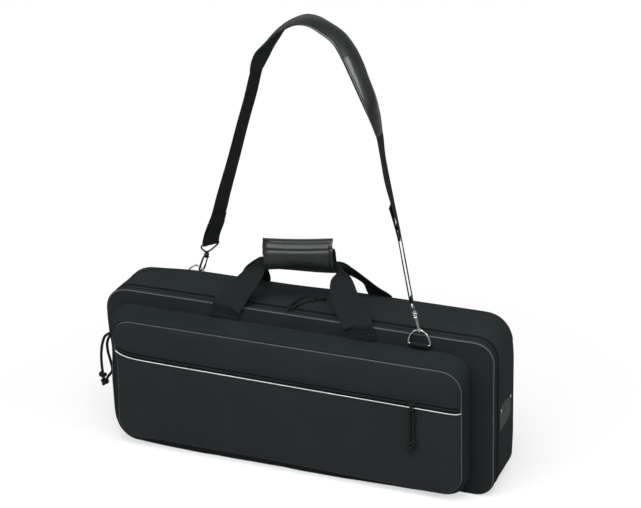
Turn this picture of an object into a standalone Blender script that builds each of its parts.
# Keyboard gig bag: a zipped box bag with a boxed front pocket, two web handles under one grip,
# and a shoulder strap on two snap hooks. Metres, +Z up, front towards -Y, origin at the centre of the base.
import math

import bmesh
import bpy
from mathutils import Matrix, Vector

MM = 0.001
GAP = 0.3 * MM
SEAM_GAP = 0.7 * MM
OVERRUN = 20 * MM

# Bag body
BAG_LENGTH = 820 * MM
BAG_HEIGHT = 340 * MM
BAG_DEPTH = 124 * MM
TOP_RADIUS = 50 * MM
BOTTOM_RADIUS = 38 * MM
FABRIC = 1.5 * MM
FOAM = 4.8 * MM
LINING = 0.8 * MM
PIPING_RADIUS = 2.2 * MM
CORNER_STEPS = 7
SEAM_STEPS = 1

# Main zip
ZIP_FROM_FRONT = 19 * MM
ZIP_HALF_BAND = 9 * MM
ZIP_TAPE_WIDTH = 13 * MM
ZIP_TAPE = 1.0 * MM
COIL_WIDTH = 1.7 * MM
COIL_THICKNESS = 1.3 * MM
ZIP_END_FROM_CORNER = 2 * MM

# Front pocket
POCKET_FROM_LEFT = 25.5 * MM
POCKET_FROM_RIGHT = 52 * MM
POCKET_BOTTOM = 16 * MM
POCKET_BELOW_TOP = 50.5 * MM
POCKET_DEPTH = 40 * MM
POCKET_RADIUS = 44 * MM
POCKET_SPREAD_SIDE = 12.5 * MM
POCKET_SPREAD_TOP = 19 * MM
POCKET_SPREAD_BOTTOM = 10 * MM
POCKET_SHOULDER = 12 * MM
SHOULDER_SPREAD_SHARE = 0.8
POCKET_ZIP_DROP = 80.5 * MM
POCKET_ZIP_HALF_BAND = 6 * MM
POCKET_TAPE_WIDTH = 9 * MM
REFLECTIVE_RADIUS = 1.3 * MM

# Webbing handles and their grip
LEG_WIDTH = 58 * MM
LEG_MIDDLE_WIDTH = 50 * MM
LEG_TOP_WIDTH = 30 * MM
WEB_THICKNESS = 2.0 * MM
FOOT_DROP = 30 * MM
FRONT_LEGS = (-142 * MM, 131 * MM)
REAR_LEGS = (-134.5 * MM, 130.4 * MM)
FOOT_SPLAY = 7 * MM
PIVOT_ABOVE_TOP = 0.8 * MM
GRIP_LENGTH = 138 * MM
GRIP_HEIGHT = 56 * MM
GRIP_THICKNESS = 36 * MM
GRIP_EDGE = 11 * MM
GRIP_X = -13 * MM
GRIP_Y = -1 * MM
GRIP_RISE = 103.5 * MM
GRIP_YAW_DEGREES = 9.5
GRIP_TILT_DEGREES = 3.5
GRIP_WEB_HEIGHT = 17 * MM
GRIP_WEB_DROP = 17.5 * MM
GRIP_WEB_OFFSET = 7 * MM
GRIP_WEB_LEAD = 5 * MM
LEG_MIDDLE_SHARE = 0.45
LEG_TOP_SHARE = 0.82
LEG_MIDDLE_TURN_SHARES = (0.75, 0.5, 0.43)
LEG_TOP_TURN_SHARES = (0.5, 0.35, 0.8)

# Strap rings and snap hooks
RING_INSIDE = 40 * MM
RING_RISE = 31 * MM
RING_WIRE = 2.25 * MM
RING_STEPS = 14
FRONT_RING_FROM_RIGHT = 149.5 * MM
REAR_RING_FROM_LEFT = 141 * MM
FRONT_RING_DROP = 19 * MM
REAR_RING_DROP = 25 * MM
FRONT_RING_LEAN_DEGREES = 0
REAR_RING_LEAN_DEGREES = 13
FRONT_HOOK_AT_DEGREES = 90
REAR_HOOK_AT_DEGREES = 60
TAB_WIDTH = 36 * MM
TAB_DROP = 10 * MM
TAB_WEB = 1.6 * MM
HOOK_WIRE = 2.0 * MM
HOOK_HALF_WIDTH = 7.55 * MM
HOOK_BEND_HEIGHT = 2.2 * MM
HOOK_TIP = 7 * MM
HOOK_SHOULDER = 28 * MM
HOOK_ROOT = (3.9 * MM, 34 * MM)
GATE_RADIUS = 1.5 * MM
GATE_LUG_RADIUS = 1.6 * MM
GATE_LUG_LENGTH = 7 * MM
GATE_PIVOT_Y = 5.6 * MM
GATE_KNEE_Z = 22 * MM
BARREL_BOTTOM = 31 * MM
BARREL_LENGTH = 7 * MM
BARREL_RADIUS = 5.2 * MM
POST_RADIUS = 2.3 * MM
POST_HEAD_RADIUS = 3.6 * MM
POST_HEAD_LENGTH = 2 * MM
EYE_FOOT = 42 * MM
EYE_KNEE = (9 * MM, 45.5 * MM)
EYE_SHOULDER = 56 * MM
EYE_SIDE = 61 * MM
EYE_BAR = 64 * MM
EYE_INSIDE = 43 * MM
EYE_WIRE = 1.9 * MM
FRONT_HOOK_LEAN_DEGREES = -14
REAR_HOOK_LEAN_DEGREES = 20.5
FRONT_HOOK_TURN_DEGREES = 18
REAR_HOOK_TURN_DEGREES = 158
FRONT_EYE_TURN_DEGREES = 112
REAR_EYE_TURN_DEGREES = 64

# Shoulder strap. Each station of its route: share of the way from the rear hook to the front one,
# share of the rise above the rear hook, turn of its width from +X and its tilt, both in degrees.
STRAP_WEB = 38 * MM
STRAP_THICKNESS = 1.6 * MM
STRAP_RISE = 540 * MM
STRAND_OFFSET = 3.0 * MM
PAD_WIDTH = 62 * MM
PAD_END_WIDTH = 40 * MM
PAD_THICKNESS = 10 * MM
PAD_END_THICKNESS = 5 * MM
STRAP_REAR_SHARES = (
    (0.008, 0.030, 64, -11),
    (0.0315, 0.082, 64, -11),
    (0.054, 0.132, 64, -11),
    (0.090, 0.221, 67, -8),
    (0.152, 0.375, 71, -4),
    (0.217, 0.547, 72, -1),
    (0.257, 0.652, 72, 0),
)
PAD_SHARES = (
    (0.291, 0.743, 73, 0),
    (0.311, 0.794, 77, 0),
    (0.335, 0.838, 81, -2),
    (0.372, 0.878, 88, -6),
    (0.415, 0.924, 94, -10),
    (0.465, 0.960, 98, -12),
    (0.513, 0.981, 100, -12),
    (0.569, 0.989, 100, -12),
    (0.629, 0.976, 98, -10),
    (0.688, 0.942, 96, -7),
    (0.727, 0.904, 95, -4),
    (0.762, 0.855, 95, -1),
    (0.793, 0.800, 96, 0),
    (0.824, 0.730, 99, 0),
    (0.850, 0.673, 102, 0),
    (0.871, 0.620, 105, 0),
)
STRAP_FRONT_SHARES = (
    (0.888, 0.537, 108, 0),
    (0.907, 0.459, 110, -2),
    (0.926, 0.372, 112, -5),
    (0.946, 0.276, 112, -5),
    (0.970, 0.160, 112, -5),
)
REAR_TAIL_STEPS = 3
REAR_ADJUSTER_STEPS = 1
FRONT_JOINED_STEPS = 3
FRONT_LEVEL_STEPS = 3
FRONT_ADJUSTER_STEPS = 2
STRAP_END_CLEARANCE = 4 * MM
ADJUSTER_LENGTH = 24 * MM
ADJUSTER_OUTSIDE = 46 * MM
ADJUSTER_WIRE = 1.5 * MM

# Sliders and their cord pulls
SLIDER_LENGTH = 15 * MM
SLIDER_WIDTH = 9 * MM
SLIDER_PLATE = 1.4 * MM
CROWN_WIRE = 0.9 * MM
CROWN_RISE = 5.5 * MM
CROWN_HALF = 5 * MM
PULL_RADIUS = 1.5 * MM
PULL_LOOP = 2.8 * MM
PULL_LENGTH = 96 * MM
KNOT_RADIUS = 3 * MM
TOP_SLIDER_X = -15 * MM
END_SLIDER_DROP = 121 * MM
POCKET_SLIDER_FROM_RIGHT = 101 * MM

# Routes of the pulls' strands in shares of the pull's length: the one behind the arch and the one in front
END_PULL_INNER_SHARES = (
    (-0.17, 0.02, -1.22),
    (-0.09, 0.02, -1.08),
    (-0.04, 0.0, -0.9),
    (-0.09, -0.02, -0.68),
    (-0.15, -0.01, -0.46),
    (-0.12, 0.0, -0.26),
    (-0.065, 0.02, -0.1),
)
END_PULL_OUTER_SHARES = (
    (-0.10, -0.01, -0.04),
    (-0.19, 0.0, -0.22),
    (-0.23, -0.01, -0.44),
    (-0.24, -0.01, -0.68),
    (-0.21, -0.01, -1.0),
)

# Things fixed to the body
WINDOW_WIDTH = 76 * MM
WINDOW_HEIGHT = 52 * MM
WINDOW_SHEET = 0.6 * MM
WINDOW_Y = 8 * MM
WINDOW_DROP = 182 * MM
RIVET_RADIUS = 3.6 * MM
RIVET_THICKNESS = 1.2 * MM
RIVET_INSET = 7 * MM
INNER_STRAP_WIDTH = 38 * MM
INNER_STRAP_THICKNESS = 2 * MM
INNER_STRAP_X = 190 * MM
INNER_STRAP_MARGIN = 40 * MM

# Places worked out from the sizes above
FRONT = -BAG_DEPTH / 2
BACK = BAG_DEPTH / 2
HALF = BAG_LENGTH / 2
POCKET_LEFT = POCKET_FROM_LEFT - HALF
POCKET_RIGHT = HALF - POCKET_FROM_RIGHT
POCKET_TOP = BAG_HEIGHT - POCKET_BELOW_TOP
POCKET_ZIP_HEIGHT = POCKET_TOP - POCKET_ZIP_DROP
POCKET_SLIDER_X = POCKET_RIGHT - POCKET_SLIDER_FROM_RIGHT
END_SLIDER_Z = BAG_HEIGHT - END_SLIDER_DROP
FOOT_BOTTOM = BAG_HEIGHT - FOOT_DROP
GRIP_CENTRE = (GRIP_X, GRIP_Y, BAG_HEIGHT + GRIP_RISE)
FRONT_RING_X = HALF - FRONT_RING_FROM_RIGHT
REAR_RING_X = REAR_RING_FROM_LEFT - HALF
FRONT_RING_BAR_Z = BAG_HEIGHT - FRONT_RING_DROP
REAR_RING_BAR_Z = BAG_HEIGHT - REAR_RING_DROP
WINDOW_Z = BAG_HEIGHT - WINDOW_DROP
ZIP_Y = FRONT + ZIP_FROM_FRONT
GUSSET_FRONT = ZIP_Y + ZIP_HALF_BAND
GUSSET_BACK = BACK - FABRIC - GAP
PIPING_Y = FRONT + PIPING_RADIUS
PIPING_BACK = PIPING_Y + PIPING_RADIUS
PANEL_INSET = 2 * PIPING_RADIUS + GAP
ZIP_HALF_OPENING = HALF - BOTTOM_RADIUS - ZIP_END_FROM_CORNER
TAPE_INSET = FABRIC + GAP
FOAM_INSET = TAPE_INSET + ZIP_TAPE + GAP
LINING_INSET = FOAM_INSET + FOAM + GAP
FOAM_BACK_FRONT = BACK - FABRIC - GAP - FOAM
LINING_BACK_FRONT = FOAM_BACK_FRONT - GAP - LINING
POCKET_FRONT = FRONT - POCKET_DEPTH
RING_LOOP = RING_WIRE + GAP + TAB_WEB / 2
RING_Y = GAP + TAB_WEB / 2 + RING_LOOP - FRONT
LEG_Y = GAP + WEB_THICKNESS / 2 - FRONT
LEG_PIVOT_Z = BAG_HEIGHT + PIVOT_ABOVE_TOP
SLIDER_LIFT = COIL_THICKNESS - FABRIC + GAP
CROWN_HEIGHT = SLIDER_PLATE + CROWN_RISE
POCKET_COIL_FACE = POCKET_FRONT + FABRIC - COIL_THICKNESS - GAP
GATE_PIVOT_Z = BARREL_BOTTOM - GAP - GATE_LUG_RADIUS

COLOURS = {
    "fabric": ((0.019, 0.023, 0.024), 0.85, 0.0),
    "pocket_fabric": ((0.024, 0.028, 0.029), 0.85, 0.0),
    "foam": ((0.05, 0.05, 0.055), 0.95, 0.0),
    "lining": ((0.03, 0.032, 0.036), 0.9, 0.0),
    "piping": ((0.055, 0.06, 0.062), 0.5, 0.0),
    "reflective": ((0.78, 0.8, 0.8), 0.35, 0.0),
    "zip": ((0.016, 0.017, 0.019), 0.7, 0.0),
    "webbing": ((0.02, 0.023, 0.024), 0.85, 0.0),
    "leather": ((0.03, 0.032, 0.033), 0.4, 0.0),
    "chrome": ((0.75, 0.75, 0.76), 0.15, 1.0),
    "black_metal": ((0.04, 0.04, 0.042), 0.4, 0.9),
    "cord": ((0.015, 0.017, 0.018), 0.8, 0.0),
    "clear": ((0.35, 0.37, 0.38), 0.15, 0.0),
}


def clear_scene():
    for obj in list(bpy.data.objects):
        bpy.data.objects.remove(obj, do_unlink=True)


def collection(name):
    made = bpy.data.collections.new(name)
    bpy.context.scene.collection.children.link(made)
    return made


def material(name):
    found = bpy.data.materials.get(name)
    if found:
        return found
    colour, roughness, metallic = COLOURS[name]
    made = bpy.data.materials.new(name)
    made.use_nodes = True
    shader = made.node_tree.nodes["Principled BSDF"]
    shader.inputs["Base Color"].default_value = (*colour, 1)
    shader.inputs["Roughness"].default_value = roughness
    shader.inputs["Metallic"].default_value = metallic
    return made


def add_object(name, mesh, look):
    obj = bpy.data.objects.new(name, mesh)
    PARTS.objects.link(obj)
    mesh.materials.append(material(look))
    return obj


def finish_mesh(name, work, look):
    """Turns a bmesh into a part, smooth where its faces meet at less than the smoothing angle."""
    mesh = bpy.data.meshes.new(name)
    work.to_mesh(mesh)
    work.free()
    obj = add_object(name, mesh, look)
    mesh.shade_smooth()
    mesh.set_sharp_from_angle(angle=math.radians(35))
    return obj


def use_as_cutter(obj):
    PARTS.objects.unlink(obj)
    CUTTERS.objects.link(obj)
    obj.hide_render = True
    obj.display_type = "WIRE"


def cut(obj, cutter, operation="DIFFERENCE"):
    cutter.name = f"{obj.name}_{cutter.name}"
    modifier = obj.modifiers.new(cutter.name, "BOOLEAN")
    modifier.object = cutter
    modifier.operation = operation
    use_as_cutter(cutter)


def join(obj, *others):
    for other in others:
        cut(obj, other, "UNION")
    return obj


def place(obj, matrix):
    """Moves a part together with the pieces that its Booleans use."""
    helpers = [modifier.object for modifier in obj.modifiers if modifier.type == "BOOLEAN"]
    for piece in [obj] + helpers:
        piece.matrix_world = matrix @ piece.matrix_world
    return obj


def rounded_outline(left, right, bottom, top, radii, steps=CORNER_STEPS):
    """Points round a rectangle, anticlockwise from the bottom right corner. radii is one radius, or one
    each for the bottom right, top right, top left and bottom left corner."""
    if not isinstance(radii, tuple):
        radii = (radii,) * 4
    corners = ((right, bottom, -1, 1), (right, top, -1, -1), (left, top, 1, -1), (left, bottom, 1, 1))
    points = []
    for turn, ((x, z, inward_x, inward_z), radius) in enumerate(zip(corners, radii)):
        if not radius:
            points.append((x, z))
            continue
        for step in range(steps + 1):
            angle = math.radians(90 * (turn - 1 + step / steps))
            across = inward_x * radius + radius * math.cos(angle)
            up = inward_z * radius + radius * math.sin(angle)
            points.append((x + across, z + up))
    return points


def bag_outline(inset):
    low, high = BOTTOM_RADIUS - inset, TOP_RADIUS - inset
    return rounded_outline(inset - HALF, HALF - inset, inset, BAG_HEIGHT - inset, (low, high, high, low))


def zip_outline(inset):
    """The bag's outline from one end of the zip, over the top, to the other end, open along the base."""
    return [(ZIP_HALF_OPENING, inset)] + bag_outline(inset) + [(-ZIP_HALF_OPENING, inset)]


def short_of(point, towards):
    """The point of an outline moved by a seam's gap towards another."""
    there = Vector(point)
    return tuple(there + (Vector(towards) - there).normalized() * SEAM_GAP)


def face_outwards(work):
    """Turns a closed mesh's faces out, also where a strip is twisted so far that the usual test misreads it."""
    bmesh.ops.recalc_face_normals(work, faces=work.faces)
    if work.calc_volume(signed=True) < 0:
        bmesh.ops.reverse_faces(work, faces=work.faces)


def mesh_from_curve(obj, look):
    """The curve's solid as a mesh object of the same name, its caps welded on."""
    bpy.context.view_layer.update()
    graph = bpy.context.evaluated_depsgraph_get()
    mesh = bpy.data.meshes.new_from_object(obj.evaluated_get(graph))
    work = bmesh.new()
    work.from_mesh(mesh)
    bmesh.ops.remove_doubles(work, verts=work.verts, dist=GAP / 100)
    face_outwards(work)
    name = obj.name
    where = obj.matrix_world.copy()
    bpy.data.objects.remove(obj, do_unlink=True)
    made = finish_mesh(name, work, look)
    made.matrix_world = where
    return made


def add_spline(curve, points, closed):
    line = curve.splines.new("POLY")
    line.points.add(len(points) - 1)
    for point, where in zip(line.points, points):
        point.co = (*where, 1)
    line.use_cyclic_u = closed


def slab(name, points, y_front, y_back, look):
    """A flat outline in the XZ plane, filled, reaching from y_front to y_back."""
    curve = bpy.data.curves.new(name, "CURVE")
    curve.dimensions = "2D"
    curve.fill_mode = "BOTH"
    curve.extrude = (y_back - y_front) / 2
    add_spline(curve, [(x, z, 0) for x, z in points], True)
    obj = bpy.data.objects.new(name, curve)
    PARTS.objects.link(obj)
    obj.rotation_euler = (math.radians(90), 0, 0)
    obj.location = (0, (y_front + y_back) / 2, 0)
    return mesh_from_curve(obj, look)


def tube(name, points, radius, look, closed=False, resolution=2):
    curve = bpy.data.curves.new(name, "CURVE")
    curve.dimensions = "3D"
    curve.bevel_depth = radius
    curve.bevel_resolution = resolution
    curve.use_fill_caps = not closed
    add_spline(curve, points, closed)
    obj = bpy.data.objects.new(name, curve)
    PARTS.objects.link(obj)
    return mesh_from_curve(obj, look)


def strip_mesh(rings, closed):
    """Faces between neighbouring rings of points; each ring joins its own ends where closed is set."""
    work = bmesh.new()
    rows = [[work.verts.new(point) for point in ring] for ring in rings]
    for first, second in zip(rows, rows[1:]):
        count = len(first)
        for index in range(count if closed else count - 1):
            after = (index + 1) % count
            work.faces.new((first[index], second[index], second[after], first[after]))
    return work


def walled(obj, thickness):
    wall = obj.modifiers.new("wall", "SOLIDIFY")
    wall.thickness = thickness
    wall.offset = -1
    wall.use_even_offset = True
    return obj


def band(name, points, y_front, y_back, thickness, look, closed=False):
    """A band along an outline in the XZ plane, with its thickness inside the outline."""
    rings = [[(x, y, z) for x, z in points] for y in (y_front, y_back)]
    return walled(finish_mesh(name, strip_mesh(rings, closed), look), thickness)


def box(name, size, centre, look):
    work = bmesh.new()
    bmesh.ops.create_cube(work, size=1)
    bmesh.ops.scale(work, vec=size, verts=work.verts)
    bmesh.ops.translate(work, vec=centre, verts=work.verts)
    return finish_mesh(name, work, look)


def cylinder(name, radius, length, centre, axis, look, sides=16):
    work = bmesh.new()
    bmesh.ops.create_cone(work, cap_ends=True, segments=sides, radius1=radius, radius2=radius, depth=length)
    turn = Vector((0, 0, 1)).rotation_difference(Vector(axis)).to_matrix().to_4x4()
    bmesh.ops.transform(work, matrix=Matrix.Translation(centre) @ turn, verts=work.verts)
    return finish_mesh(name, work, look)


def ball(name, radius, centre, look):
    work = bmesh.new()
    bmesh.ops.create_uvsphere(work, u_segments=10, v_segments=6, radius=radius)
    bmesh.ops.translate(work, vec=centre, verts=work.verts)
    return finish_mesh(name, work, look)


def ribbon(name, stations, look):
    """A flat strip through stations of (centre, direction of its width, width, thickness). Where it twists,
    its two faces are split along the same diagonal, so that they stay the thickness apart."""
    count = len(stations)
    rings = []
    for index, (centre, across, width, thickness) in enumerate(stations):
        before = Vector(stations[max(index - 1, 0)][0])
        after = Vector(stations[min(index + 1, count - 1)][0])
        across = Vector(across).normalized()
        outward = (after - before).cross(across).normalized()
        side = across * width / 2
        face = outward * thickness / 2
        middle = Vector(centre)
        corners = (side + face, face - side, -side - face, side - face)
        rings.append([middle + corner for corner in corners])
    work = bmesh.new()
    rows = [[work.verts.new(point) for point in ring] for ring in rings]
    for first, second in zip(rows, rows[1:]):
        for index in range(len(first)):
            after = (index + 1) % len(first)
            near, far, far_after, near_after = first[index], second[index], second[after], first[after]
            if index < 2:
                triangles = ((near, far, far_after), (near, far_after, near_after))
            else:
                triangles = ((near, far, near_after), (far, far_after, near_after))
            for corners in triangles:
                work.faces.new(corners)
    for ring in (rows[0], rows[-1]):
        work.faces.new(ring)
    face_outwards(work)
    return finish_mesh(name, work, look)


def make_tray():
    """Back panel, wide gusset in two lengths, foam, lining and the tray's half of the main zip."""
    slab("back_panel", bag_outline(0), BACK - FABRIC, BACK, "fabric")
    outline = bag_outline(0)
    corner = CORNER_STEPS + 1
    right_seam, left_seam = corner + SEAM_STEPS, 3 * corner - SEAM_STEPS - 1
    over = outline[right_seam : left_seam + 1]
    band("gusset_top", over, GUSSET_FRONT, GUSSET_BACK, FABRIC, "fabric")
    left_end = short_of(outline[left_seam], outline[left_seam + 1])
    right_end = short_of(outline[right_seam], outline[right_seam - 1])
    under = [left_end] + outline[left_seam + 1 :] + outline[:right_seam] + [right_end]
    base = band("gusset_base", under, GUSSET_FRONT, GUSSET_BACK, FABRIC, "fabric")
    strip_front = PIPING_BACK + GAP
    strip_back = GUSSET_FRONT + FABRIC
    hinge_strip = box(
        "hinge_strip",
        (2 * (ZIP_HALF_OPENING - GAP), strip_back - strip_front, FABRIC),
        (0, (strip_front + strip_back) / 2, FABRIC / 2),
        "fabric",
    )
    join(base, hinge_strip)
    slab("foam_back", bag_outline(TAPE_INSET), FOAM_BACK_FRONT, GUSSET_BACK, "foam")
    ring_front = GUSSET_FRONT - COIL_WIDTH
    ring_back = FOAM_BACK_FRONT - GAP
    band("foam_ring", bag_outline(FOAM_INSET), ring_front, ring_back, FOAM, "foam", closed=True)
    lining = bag_outline(LINING_INSET)
    slab("lining_back", lining, LINING_BACK_FRONT, ring_back, "lining")
    band("lining_ring", lining, ring_front, LINING_BACK_FRONT - GAP, LINING, "lining", closed=True)
    tape_front = ZIP_Y + GAP / 2
    tape = zip_outline(TAPE_INSET)
    band("tray_zip_tape", tape, tape_front, tape_front + ZIP_TAPE_WIDTH, ZIP_TAPE, "zip")
    coil = zip_outline(FABRIC - COIL_THICKNESS)
    band("tray_zip_coil", coil, tape_front, tape_front + COIL_WIDTH, COIL_THICKNESS, "zip")
    strap_back = LINING_BACK_FRONT - GAP
    strap_length = BAG_HEIGHT - 2 * INNER_STRAP_MARGIN
    for side, x in (("left", -INNER_STRAP_X), ("right", INNER_STRAP_X)):
        box(
            f"inner_strap_{side}",
            (INNER_STRAP_WIDTH, INNER_STRAP_THICKNESS, strap_length),
            (x, strap_back - INNER_STRAP_THICKNESS / 2, BAG_HEIGHT / 2),
            "webbing",
        )


def make_lid():
    """Front panel, narrow gusset, piping, foam, lining and the lid's half of the main zip."""
    slab("front_panel", bag_outline(PANEL_INSET), FRONT, FRONT + FABRIC, "fabric")
    piping = [(x, PIPING_Y, z) for x, z in bag_outline(PIPING_RADIUS)]
    tube("front_piping", piping, PIPING_RADIUS, "piping", closed=True)
    edge_front = PIPING_BACK + GAP
    band("front_gusset", zip_outline(0), edge_front, ZIP_Y - ZIP_HALF_BAND, FABRIC, "fabric")
    foam_front = FRONT + FABRIC + GAP
    slab("foam_front", bag_outline(PANEL_INSET), foam_front, foam_front + FOAM, "foam")
    lining_front = foam_front + FOAM + GAP
    slab("lining_front", bag_outline(LINING_INSET), lining_front, lining_front + LINING, "lining")
    tape_back = ZIP_Y - GAP / 2
    tape = zip_outline(TAPE_INSET)
    band("lid_zip_tape", tape, tape_back - ZIP_TAPE_WIDTH, tape_back, ZIP_TAPE, "zip")
    coil = zip_outline(FABRIC - COIL_THICKNESS)
    band("lid_zip_coil", coil, tape_back - COIL_WIDTH, tape_back, COIL_THICKNESS, "zip")


def pocket_outline(inset, spread=0):
    side = inset - spread * POCKET_SPREAD_SIDE
    return rounded_outline(
        POCKET_LEFT + side,
        POCKET_RIGHT - side,
        POCKET_BOTTOM + inset - spread * POCKET_SPREAD_BOTTOM,
        POCKET_TOP - inset + spread * POCKET_SPREAD_TOP,
        POCKET_RADIUS - inset,
    )


def make_pocket():
    """Boxed pocket: spread gusset, piping, two front panels with the zip between them."""
    seam_inset = PIPING_RADIUS - FABRIC / 2
    stations = (
        (seam_inset, 0, POCKET_FRONT + 2 * PIPING_RADIUS + GAP),
        (0, SHOULDER_SPREAD_SHARE, POCKET_FRONT + POCKET_SHOULDER),
        (0, 1, FRONT - GAP),
    )
    rings = [[(x, y, z) for x, z in pocket_outline(inset, share)] for inset, share, y in stations]
    walled(finish_mesh("pocket_gusset", strip_mesh(rings, True), "pocket_fabric"), FABRIC)
    piping_y = POCKET_FRONT + PIPING_RADIUS
    piping = [(x, piping_y, z) for x, z in pocket_outline(PIPING_RADIUS)]
    tube("pocket_piping", piping, PIPING_RADIUS, "piping", closed=True)
    left, right = POCKET_LEFT + PANEL_INSET, POCKET_RIGHT - PANEL_INSET
    bottom, top = POCKET_BOTTOM + PANEL_INSET, POCKET_TOP - PANEL_INSET
    radius = POCKET_RADIUS - PANEL_INSET
    upper_edge = POCKET_ZIP_HEIGHT + POCKET_ZIP_HALF_BAND
    reflective_z = POCKET_ZIP_HEIGHT - POCKET_ZIP_HALF_BAND - REFLECTIVE_RADIUS
    lower_edge = reflective_z - REFLECTIVE_RADIUS - GAP
    back = POCKET_FRONT + FABRIC
    upper = rounded_outline(left, right, upper_edge, top, (0, radius, radius, 0))
    slab("pocket_upper_panel", upper, POCKET_FRONT, back, "pocket_fabric")
    lower = rounded_outline(left, right, bottom, lower_edge, (radius, 0, 0, radius))
    slab("pocket_lower_panel", lower, POCKET_FRONT, back, "pocket_fabric")
    reflective = [(x, POCKET_FRONT, reflective_z) for x in (left, right)]
    tube("reflective_piping", reflective, REFLECTIVE_RADIUS, "reflective")
    tape_front = back + GAP
    middle = (left + right) / 2
    for name, way in (("pocket_tape_upper", 1), ("pocket_tape_lower", -1)):
        box(
            name,
            (right - left, ZIP_TAPE, POCKET_TAPE_WIDTH),
            (middle, tape_front + ZIP_TAPE / 2, POCKET_ZIP_HEIGHT + way * (GAP + POCKET_TAPE_WIDTH) / 2),
            "zip",
        )
    coil_y = tape_front - GAP - COIL_THICKNESS / 2
    box(
        "pocket_zip_coil",
        (right - left, COIL_THICKNESS, 2 * COIL_WIDTH),
        (middle, coil_y, POCKET_ZIP_HEIGHT),
        "zip",
    )


def slider_plate(name, look):
    """A slider lying flat at the origin, its plate's underside at z 0, running along X."""
    plate = box(
        name, (SLIDER_LENGTH, SLIDER_WIDTH, SLIDER_PLATE), (0, 0, SLIDER_PLATE / 2), look
    )
    top = SLIDER_PLATE + CROWN_RISE
    middle = SLIDER_PLATE / 2
    arch = [(-CROWN_HALF, 0, middle), (-CROWN_HALF, 0, top), (CROWN_HALF, 0, top), (CROWN_HALF, 0, middle)]
    return join(plate, tube("crown", arch, CROWN_WIRE, look, resolution=1))


def loop_points(crown, inward, onward, steps=6):
    """A half turn of cord round the crown's bar, from its inner side, round the onward side, to its outer."""
    points = []
    for step in range(steps + 1):
        angle = math.radians(180 * step / steps)
        points.append(crown + PULL_LOOP * (inward * math.cos(angle) + onward * math.sin(angle)))
    return points


def cord_pull(name, route):
    pull = tube(name, route, PULL_RADIUS, "cord")
    for label, where in (("first_knot", route[0]), ("second_knot", route[-1])):
        join(pull, ball(label, KNOT_RADIUS, where, "cord"))
    return pull


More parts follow.
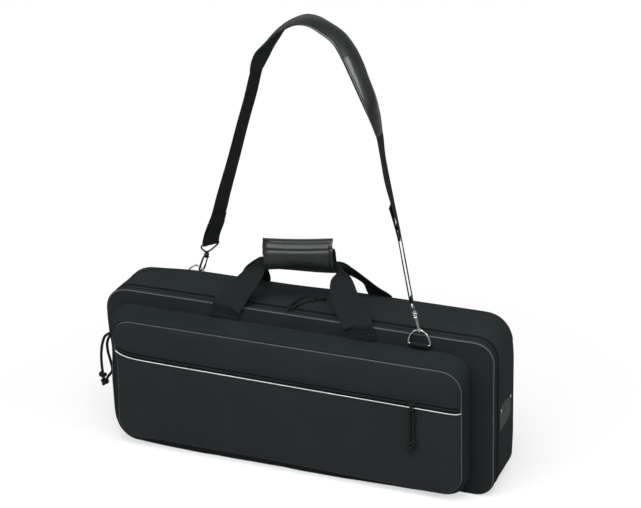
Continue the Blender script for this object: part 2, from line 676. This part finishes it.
def make_sliders():
    """Two sliders on the main zip and one on the pocket, each with a doubled cord pull."""
    rest_height = PULL_RADIUS + GAP
    knot_height = KNOT_RADIUS + GAP
    up, back, right = Vector((0, 0, 1)), Vector((0, 1, 0)), Vector((1, 0, 0))

    top_z = BAG_HEIGHT + SLIDER_LIFT
    place(slider_plate("top_slider", "black_metal"), Matrix.Translation((TOP_SLIDER_X, ZIP_Y, top_z)))
    crown = Vector((TOP_SLIDER_X, ZIP_Y, top_z + CROWN_HEIGHT))
    lying = BAG_HEIGHT + rest_height
    knot_z = BAG_HEIGHT + knot_height
    inner = [
        Vector((TOP_SLIDER_X + 0.31 * PULL_LENGTH, ZIP_Y + 0.54 * PULL_LENGTH, knot_z)),
        Vector((TOP_SLIDER_X + 0.20 * PULL_LENGTH, ZIP_Y + 0.46 * PULL_LENGTH, lying)),
        Vector((TOP_SLIDER_X + 0.07 * PULL_LENGTH, ZIP_Y + 0.32 * PULL_LENGTH, lying)),
        Vector((TOP_SLIDER_X, ZIP_Y + 0.16 * PULL_LENGTH, lying + PULL_RADIUS)),
    ]
    outer = [
        Vector((TOP_SLIDER_X, ZIP_Y + 0.12 * PULL_LENGTH, lying + 3 * PULL_RADIUS)),
        Vector((TOP_SLIDER_X + 0.06 * PULL_LENGTH, ZIP_Y + 0.25 * PULL_LENGTH, lying + 2.1 * PULL_RADIUS)),
        Vector((TOP_SLIDER_X + 0.12 * PULL_LENGTH, ZIP_Y + 0.45 * PULL_LENGTH, lying)),
        Vector((TOP_SLIDER_X + 0.26 * PULL_LENGTH, ZIP_Y + 0.62 * PULL_LENGTH, lying)),
        Vector((TOP_SLIDER_X + 0.55 * PULL_LENGTH, ZIP_Y + 0.66 * PULL_LENGTH, knot_z)),
    ]
    cord_pull("top_pull", inner + loop_points(crown, -up, -back) + outer)

    end_x = -HALF - SLIDER_LIFT
    onto_end = Matrix.Translation((end_x, ZIP_Y, END_SLIDER_Z)) @ Matrix.Rotation(math.radians(-90), 4, "Y")
    place(slider_plate("end_slider", "black_metal"), onto_end)
    crown = Vector((end_x - CROWN_HEIGHT, ZIP_Y, END_SLIDER_Z))
    inner = [crown + PULL_LENGTH * Vector(shares) for shares in END_PULL_INNER_SHARES]
    outer = [crown + PULL_LENGTH * Vector(shares) for shares in END_PULL_OUTER_SHARES]
    cord_pull("end_pull", inner + loop_points(crown, back, right) + outer)

    face = POCKET_COIL_FACE
    onto_pocket = Matrix.Translation((POCKET_SLIDER_X, face, POCKET_ZIP_HEIGHT))
    place(slider_plate("pocket_slider", "black_metal"), onto_pocket @ Matrix.Rotation(math.radians(90), 4, "X"))
    crown = Vector((POCKET_SLIDER_X, face - CROWN_HEIGHT, POCKET_ZIP_HEIGHT))
    hanging = face - SLIDER_PLATE - rest_height
    knot_y = POCKET_FRONT - knot_height
    left_x = POCKET_SLIDER_X - 1.3 * PULL_RADIUS
    right_x = POCKET_SLIDER_X + 1.3 * PULL_RADIUS
    inner = [
        Vector((left_x - PULL_RADIUS / 2, knot_y, POCKET_ZIP_HEIGHT - PULL_LENGTH)),
        Vector((left_x, hanging, POCKET_ZIP_HEIGHT - 0.5 * PULL_LENGTH)),
        Vector((left_x, hanging, POCKET_ZIP_HEIGHT - 0.2 * PULL_LENGTH)),
        Vector((POCKET_SLIDER_X, crown.y + PULL_LOOP, POCKET_ZIP_HEIGHT - 0.04 * PULL_LENGTH)),
    ]
    outer = [
        Vector((POCKET_SLIDER_X, crown.y - PULL_LOOP, POCKET_ZIP_HEIGHT - 0.04 * PULL_LENGTH)),
        Vector((right_x, crown.y, POCKET_ZIP_HEIGHT - 0.2 * PULL_LENGTH)),
        Vector((right_x, hanging, POCKET_ZIP_HEIGHT - 0.5 * PULL_LENGTH)),
        Vector((right_x + PULL_RADIUS / 2, knot_y, POCKET_ZIP_HEIGHT - 0.92 * PULL_LENGTH)),
    ]
    cord_pull("pocket_pull", inner + loop_points(crown, back, up) + outer)


def grip_frame():
    turn = Matrix.Rotation(math.radians(GRIP_YAW_DEGREES), 4, "Z")
    tilt = Matrix.Rotation(math.radians(-GRIP_TILT_DEGREES), 4, "Y")
    return Matrix.Translation(GRIP_CENTRE) @ turn @ tilt


def make_handle(side, way, legs):
    """One handle: two sewn feet, its webbing, and its half of the grip. way is -1 in front, 1 behind."""
    foot_y = way * LEG_Y
    left_x, right_x = legs
    foot_top = LEG_PIVOT_Z - WEB_THICKNESS / 2 - GAP
    for label, x, splay in (("left", left_x, -FOOT_SPLAY), ("right", right_x, FOOT_SPLAY)):
        ribbon(
            f"{side}_foot_{label}",
            [
                ((x + splay, foot_y, FOOT_BOTTOM), (1, 0, 0), LEG_WIDTH, WEB_THICKNESS),
                ((x, foot_y, foot_top), (1, 0, 0), LEG_WIDTH, WEB_THICKNESS),
            ],
            "webbing",
        )
    frame = grip_frame()
    half = GRIP_LENGTH / 2
    offset = way * GRIP_WEB_OFFSET
    mouth_left = frame @ Vector((-half, offset, -GRIP_WEB_DROP))
    mouth_right = frame @ Vector((half, offset, -GRIP_WEB_DROP))
    beyond = frame.to_3x3() @ Vector((GRIP_WEB_LEAD, 0, 0))
    pivot_left = Vector((left_x, foot_y, LEG_PIVOT_Z))
    pivot_right = Vector((right_x, foot_y, LEG_PIVOT_Z))
    up = frame.to_3x3() @ Vector((0, 0, 1))

    def leg(pivot, mouth, outward):
        side_on = Vector((outward, 0, 0))
        along, inward, upward = LEG_MIDDLE_TURN_SHARES
        middle_turn = Vector((along * outward, -inward * way, upward))
        along, inward, upward = LEG_TOP_TURN_SHARES
        top_turn = Vector((along * outward, -inward * way, upward))
        end = mouth + outward * beyond
        return [
            (pivot, side_on, LEG_WIDTH, WEB_THICKNESS),
            (pivot.lerp(end, LEG_MIDDLE_SHARE), middle_turn, LEG_MIDDLE_WIDTH, WEB_THICKNESS),
            (pivot.lerp(end, LEG_TOP_SHARE), top_turn, LEG_TOP_WIDTH, WEB_THICKNESS),
            (end, up, GRIP_WEB_HEIGHT, WEB_THICKNESS),
            (mouth, up, GRIP_WEB_HEIGHT, WEB_THICKNESS),
        ]

    left = leg(pivot_left, mouth_left, -1)
    right = leg(pivot_right, mouth_right, 1)
    ribbon(f"{side}_handle_web", left + right[::-1], "webbing")

    inner_face = way * GAP / 2
    outer_face = way * GRIP_THICKNESS / 2
    low, high = sorted((inner_face, outer_face))
    edge = GRIP_EDGE
    radii = (0, 0, edge, edge) if way < 0 else (edge, edge, 0, 0)
    section = rounded_outline(low, high, -GRIP_HEIGHT / 2, GRIP_HEIGHT / 2, radii, steps=4)
    grip = slab(f"{side}_grip", section, -half, half, "leather")
    place(grip, frame @ Matrix.Rotation(math.radians(90), 4, "Z"))
    tunnel = box(
        "tunnel",
        (GRIP_LENGTH + OVERRUN, WEB_THICKNESS + 2 * GAP, GRIP_WEB_HEIGHT + 2 * GAP),
        (0, offset, -GRIP_WEB_DROP),
        "leather",
    )
    cut(grip, place(tunnel, frame))


def ring_centre(side):
    """The middle of the D-ring's straight bar."""
    if side == "front":
        return Vector((FRONT_RING_X, -RING_Y, FRONT_RING_BAR_Z))
    return Vector((REAR_RING_X, RING_Y, REAR_RING_BAR_Z))


def on_ring(side, degrees):
    """A point on the arc of the ring's wire, by its angle from +X."""
    angle = math.radians(degrees)
    half = RING_INSIDE / 2 + RING_WIRE
    arc = Vector((half * math.cos(angle), 0, RING_RISE * math.sin(angle)))
    lean = FRONT_RING_LEAN_DEGREES if side == "front" else -REAR_RING_LEAN_DEGREES
    return ring_centre(side) + Matrix.Rotation(math.radians(lean), 3, "X") @ arc


def make_ring(side, way):
    """D-ring on a folded webbing tab."""
    centre = ring_centre(side)
    points = [on_ring(side, 180 * step / RING_STEPS) for step in range(RING_STEPS + 1)]
    tube(f"{side}_ring", points, RING_WIRE, "chrome", closed=True)

    low = centre.z - TAB_DROP
    inner_y = centre.y - way * RING_LOOP
    outer_y = centre.y + way * TAB_WEB / 2
    across = (1, 0, 0)
    stations = [((centre.x, inner_y, low), across, TAB_WIDTH, TAB_WEB)]
    steps = 8
    for step in range(steps + 1):
        angle = math.radians(180 * step / steps)
        y = centre.y - way * RING_LOOP * math.cos(angle)
        z = centre.z + RING_LOOP * math.sin(angle)
        stations.append(((centre.x, y, z), across, TAB_WIDTH, TAB_WEB))
    stations.append(((centre.x, outer_y, low + TAB_DROP / 4), across, TAB_WIDTH, TAB_WEB))
    ribbon(f"{side}_ring_tab", stations, "webbing")


def hook_frame(side):
    """Origin at the ring's wire, +Z along the hook, gate towards -Y."""
    if side == "front":
        at, lean, turn = FRONT_HOOK_AT_DEGREES, FRONT_HOOK_LEAN_DEGREES, FRONT_HOOK_TURN_DEGREES
    else:
        at, lean, turn = REAR_HOOK_AT_DEGREES, REAR_HOOK_LEAN_DEGREES, REAR_HOOK_TURN_DEGREES
    leaning = Matrix.Rotation(math.radians(lean), 4, "Y")
    return Matrix.Translation(on_ring(side, at)) @ leaning @ Matrix.Rotation(math.radians(turn), 4, "Z")


def eye_frame(side):
    """The hook's frame turned so that the swivel eye's bar lies along X."""
    if side == "front":
        turn = FRONT_EYE_TURN_DEGREES - FRONT_HOOK_TURN_DEGREES
    else:
        turn = REAR_EYE_TURN_DEGREES - REAR_HOOK_TURN_DEGREES
    return hook_frame(side) @ Matrix.Rotation(math.radians(turn), 4, "Z")


def make_hook(side):
    """Snap hook: body with a J and a barrel, sprung gate, and swivel eye."""
    frame = hook_frame(side)
    shank = [
        (0, HOOK_ROOT[0], HOOK_ROOT[1]),
        (0, HOOK_HALF_WIDTH, HOOK_SHOULDER),
    ]
    steps = 10
    bend = []
    for step in range(steps + 1):
        angle = math.radians(-180 * step / steps)
        y = HOOK_HALF_WIDTH * math.cos(angle)
        z = HOOK_BEND_HEIGHT + HOOK_HALF_WIDTH * math.sin(angle)
        bend.append((0, y, z))
    jaw = tube("jaw", shank + bend + [(0, -HOOK_HALF_WIDTH, HOOK_TIP)], HOOK_WIRE, "chrome")
    barrel_z = BARREL_BOTTOM + BARREL_LENGTH / 2
    body = cylinder(f"{side}_hook", BARREL_RADIUS, BARREL_LENGTH, (0, 0, barrel_z), (0, 0, 1), "chrome")
    join(body, jaw)
    bore = cylinder(
        "bore", POST_RADIUS + GAP, BARREL_LENGTH + OVERRUN / 4, (0, 0, barrel_z), (0, 0, 1), "chrome"
    )
    cut(body, bore)
    place(body, frame)

    axle = (0, -GATE_PIVOT_Y, GATE_PIVOT_Z)
    knee = (0, -(GATE_PIVOT_Y + HOOK_HALF_WIDTH) / 2, GATE_KNEE_Z)
    foot = (0, -HOOK_HALF_WIDTH, HOOK_TIP + GAP)
    gate = tube(f"{side}_gate", [axle, knee, foot], GATE_RADIUS, "chrome")
    lug = cylinder("lug", GATE_LUG_RADIUS, GATE_LUG_LENGTH, axle, (1, 0, 0), "chrome", sides=12)
    place(join(gate, lug), frame)

    side_x = EYE_INSIDE / 2 + EYE_WIRE
    right_side = [EYE_KNEE, (side_x - EYE_WIRE, EYE_SHOULDER), (side_x, EYE_SIDE), (side_x - EYE_WIRE, EYE_BAR)]
    left_side = [(-x, z) for x, z in right_side[::-1]]
    loop = [(x, 0, z) for x, z in [(0, EYE_FOOT)] + right_side + left_side]
    wire = tube("wire", loop, EYE_WIRE, "chrome", closed=True)
    post_bottom = BARREL_BOTTOM - GAP - POST_HEAD_LENGTH
    post = cylinder(
        f"{side}_eye", POST_RADIUS, EYE_FOOT - post_bottom, (0, 0, (EYE_FOOT + post_bottom) / 2), (0, 0, 1), "chrome"
    )
    head_z = post_bottom + POST_HEAD_LENGTH / 2
    head = cylinder("head", POST_HEAD_RADIUS, POST_HEAD_LENGTH, (0, 0, head_z), (0, 0, 1), "chrome")
    collar_z = BARREL_BOTTOM + BARREL_LENGTH + GAP + POST_HEAD_LENGTH / 2
    collar = cylinder("collar", POST_HEAD_RADIUS, POST_HEAD_LENGTH, (0, 0, collar_z), (0, 0, 1), "chrome")
    place(join(post, head, collar, wire), eye_frame(side))


def eye_bar(side):
    """The middle of an eye's bar and the way that it runs."""
    frame = eye_frame(side)
    return frame @ Vector((0, 0, EYE_BAR)), frame.to_3x3() @ Vector((1, 0, 0))


def strap_place(shares):
    """Where a station of the strap lies, and the way that its width points."""
    rear, _ = eye_bar("rear")
    front, _ = eye_bar("front")
    along, rise, turn, tilt = shares
    where = rear.lerp(front, along)
    where.z = rear.z + rise * STRAP_RISE
    turn, tilt = math.radians(turn), math.radians(tilt)
    level = math.cos(tilt)
    return where, Vector((level * math.cos(turn), level * math.sin(turn), math.sin(tilt)))


def rear_places():
    """Places of the rear webbing, the first ones with their width along the eye's bar."""
    _, bar = eye_bar("rear")
    places = [strap_place(shares) for shares in STRAP_REAR_SHARES]
    places[:REAR_TAIL_STEPS] = [(where, bar) for where, _ in places[:REAR_TAIL_STEPS]]
    places.append(beside(strap_place(PAD_SHARES[0]), places[-1], GAP))
    return places


def front_places():
    """Places of the front webbing, the last ones with their width along the eye's bar."""
    front, bar = eye_bar("front")
    places = [strap_place(shares) for shares in STRAP_FRONT_SHARES]
    places.append(beside((front, bar), places[-1], EYE_WIRE + STRAP_END_CLEARANCE))
    places[FRONT_LEVEL_STEPS - 1 :] = [(where, bar) for where, _ in places[FRONT_LEVEL_STEPS - 1 :]]
    places.insert(0, beside(strap_place(PAD_SHARES[-1]), places[0], GAP))
    return places


def strand(places, offsets):
    """Stations of a strand that lies to one side of each place by its offset."""
    stations = []
    for index, ((where, across), offset) in enumerate(zip(places, offsets)):
        before = places[max(index - 1, 0)][0]
        after = places[min(index + 1, len(places) - 1)][0]
        outward = (after - before).cross(across).normalized()
        stations.append((where + offset * outward, across, STRAP_WEB, STRAP_THICKNESS))
    return stations


def beside(place, other, distance):
    """A place at a distance from this one towards the other."""
    (where, across), (towards, _) = place, other
    return where + (towards - where).normalized() * distance, across


def make_strap():
    """Webbing from hook to hook, the shoulder pad, and the two adjusters."""
    rear, rear_across = eye_bar("rear")
    places = rear_places()
    offsets = [STRAND_OFFSET] * (REAR_TAIL_STEPS + 1)
    offsets += [0] * (len(places) - len(offsets))
    main = strand(places, offsets)
    tail = strand(places[:REAR_TAIL_STEPS], [-STRAND_OFFSET] * REAR_TAIL_STEPS)
    along = (places[0][0] - rear).normalized()
    outward = along.cross(rear_across).normalized()
    turn_radius = EYE_WIRE + GAP + STRAP_THICKNESS / 2
    steps = 8
    bend = []
    for step in range(steps + 1):
        angle = math.radians(180 * step / steps)
        where = rear + turn_radius * (outward * math.cos(angle) - along * math.sin(angle))
        bend.append((where, rear_across, STRAP_WEB, STRAP_THICKNESS))
    ribbon("strap_rear_web", main[::-1] + bend + tail, "webbing")
    places = front_places()
    joined = [0] * FRONT_JOINED_STEPS
    offsets = joined + [STRAND_OFFSET] * (len(places) - len(joined))
    ribbon("strap_front_web", strand(places, offsets), "webbing")
    tail_places = places[FRONT_JOINED_STEPS:]
    ribbon("strap_front_tail", strand(tail_places, [-STRAND_OFFSET] * len(tail_places)), "webbing")

    stations = []
    count = len(PAD_SHARES)
    for index, shares in enumerate(PAD_SHARES):
        where, across = strap_place(shares)
        fullness = min(1, 3.2 * math.sin(math.pi * index / (count - 1)))
        width = PAD_END_WIDTH + fullness * (PAD_WIDTH - PAD_END_WIDTH)
        thickness = PAD_END_THICKNESS + fullness * (PAD_THICKNESS - PAD_END_THICKNESS)
        stations.append((where, across, width, thickness))
    ribbon("shoulder_pad", stations, "leather")
    make_adjuster("rear_adjuster", rear_places(), REAR_ADJUSTER_STEPS)
    make_adjuster("front_adjuster", front_places()[::-1], FRONT_ADJUSTER_STEPS)


def make_adjuster(name, places, station):
    """A three-bar adjuster between the main strand and the tail."""
    where, across = places[station]
    along = (places[station + 1][0] - places[station - 1][0]).normalized()
    side = across * (ADJUSTER_OUTSIDE / 2 - ADJUSTER_WIRE)
    end = along * (ADJUSTER_LENGTH / 2 - ADJUSTER_WIRE)
    corners = [where + side + end, where - side + end, where - side - end, where + side - end]
    frame = tube(name, corners, ADJUSTER_WIRE, "black_metal", closed=True)
    bar = tube("bar", [where - side, where + side], ADJUSTER_WIRE, "black_metal")
    join(frame, bar)


def make_window():
    """Clear label pocket on the right end, over its backing, with two rivets."""
    first = HALF + GAP
    backing_x = first + WINDOW_SHEET / 2
    box("id_backing", (WINDOW_SHEET, WINDOW_WIDTH, WINDOW_HEIGHT), (backing_x, WINDOW_Y, WINDOW_Z), "fabric")
    sheet_x = backing_x + WINDOW_SHEET + GAP
    box("id_window", (WINDOW_SHEET, WINDOW_WIDTH, WINDOW_HEIGHT), (sheet_x, WINDOW_Y, WINDOW_Z), "clear")
    rivet_x = sheet_x + WINDOW_SHEET / 2 + GAP + RIVET_THICKNESS / 2
    rivet_z = WINDOW_Z + WINDOW_HEIGHT / 2 - RIVET_INSET
    reach = WINDOW_WIDTH / 2 - RIVET_INSET
    for label, y in (("front", WINDOW_Y - reach), ("rear", WINDOW_Y + reach)):
        cylinder(f"id_rivet_{label}", RIVET_RADIUS, RIVET_THICKNESS, (rivet_x, y, rivet_z), (1, 0, 0), "chrome")


def pivot(name, where, parent=None):
    """An empty on a joint's axis, carried by another."""
    empty = bpy.data.objects.new(name, None)
    PARTS.objects.link(empty)
    empty.empty_display_size = RING_RISE
    empty.matrix_world = Matrix.Translation(where)
    if parent:
        carry(parent, empty)
    return empty


def carry(parent, obj):
    """Parents an object without moving it."""
    bpy.context.view_layer.update()
    obj.parent = parent
    obj.matrix_parent_inverse = parent.matrix_world.inverted()


def set_joints():
    """Each moving body hangs on an empty that stands on its joint's axis."""
    root = pivot("bag", Vector())
    lid = pivot("lid_hinge", Vector((0, PIPING_Y, PIPING_RADIUS)), root)
    moving = {lid: ["front_ring_tab", "front_foot_left", "front_foot_right", "reflective_piping"]}
    lid_words = ("front_panel", "front_piping", "front_gusset", "foam_front", "lining_front", "lid_", "pocket_")
    apart = ("pocket_slider", "pocket_pull")
    for obj in PARTS.objects:
        if obj.name.startswith(lid_words) and obj.name not in apart and obj.type == "MESH":
            moving[lid].append(obj.name)

    top_crown = Vector((TOP_SLIDER_X, ZIP_Y, BAG_HEIGHT + SLIDER_LIFT + CROWN_HEIGHT))
    end_crown = Vector((-HALF - SLIDER_LIFT - CROWN_HEIGHT, ZIP_Y, END_SLIDER_Z))
    pocket_crown = Vector((POCKET_SLIDER_X, POCKET_COIL_FACE - CROWN_HEIGHT, POCKET_ZIP_HEIGHT))
    for name, crown, body in (("top", top_crown, root), ("end", end_crown, root), ("pocket", pocket_crown, lid)):
        slide = pivot(f"{name}_slide", crown, body)
        moving[slide] = [f"{name}_slider"]
        moving[pivot(f"{name}_pull_swing", crown, slide)] = [f"{name}_pull"]

    eyes = {}
    for side, body, legs, way in (("front", lid, FRONT_LEGS, -1), ("rear", root, REAR_LEGS, 1)):
        middle = sum(legs) / len(legs)
        swing = pivot(f"{side}_handle_swing", Vector((middle, way * LEG_Y, LEG_PIVOT_Z)), body)
        moving[swing] = [f"{side}_handle_web", f"{side}_grip"]
        ring = pivot(f"{side}_ring_swing", ring_centre(side), body)
        moving[ring] = [f"{side}_ring"]
        frame = hook_frame(side)
        hook = pivot(f"{side}_hook_swing", frame.translation, ring)
        moving[hook] = [f"{side}_hook"]
        gate = pivot(f"{side}_gate_swing", frame @ Vector((0, -GATE_PIVOT_Y, GATE_PIVOT_Z)), hook)
        moving[gate] = [f"{side}_gate"]
        eyes[side] = pivot(f"{side}_eye_swivel", frame @ Vector((0, 0, EYE_FOOT)), hook)
        moving[eyes[side]] = [f"{side}_eye"]

    strap = pivot("strap_swing", eye_bar("rear")[0], eyes["rear"])
    moving[strap] = ["strap_rear_web", "shoulder_pad", "strap_front_web", "strap_front_tail"]
    rear_adjuster = rear_places()[REAR_ADJUSTER_STEPS][0]
    front_adjuster = front_places()[::-1][FRONT_ADJUSTER_STEPS][0]
    moving[pivot("rear_adjuster_slide", rear_adjuster, strap)] = ["rear_adjuster"]
    moving[pivot("front_adjuster_slide", front_adjuster, strap)] = ["front_adjuster"]

    held = {name for names in moving.values() for name in names}
    fixed = [obj.name for obj in PARTS.objects if obj.type == "MESH" and obj.name not in held]
    moving[root] = fixed
    for empty, names in moving.items():
        for name in names:
            carry(empty, bpy.data.objects[name])


def main():
    make_tray()
    make_lid()
    make_pocket()
    make_sliders()
    make_handle("front", -1, FRONT_LEGS)
    make_handle("rear", 1, REAR_LEGS)
    make_ring("front", -1)
    make_ring("rear", 1)
    make_hook("front")
    make_hook("rear")
    make_strap()
    make_window()
    set_joints()


clear_scene()
PARTS = collection("keyboard_gig_bag")
CUTTERS = collection("cutters")
main()
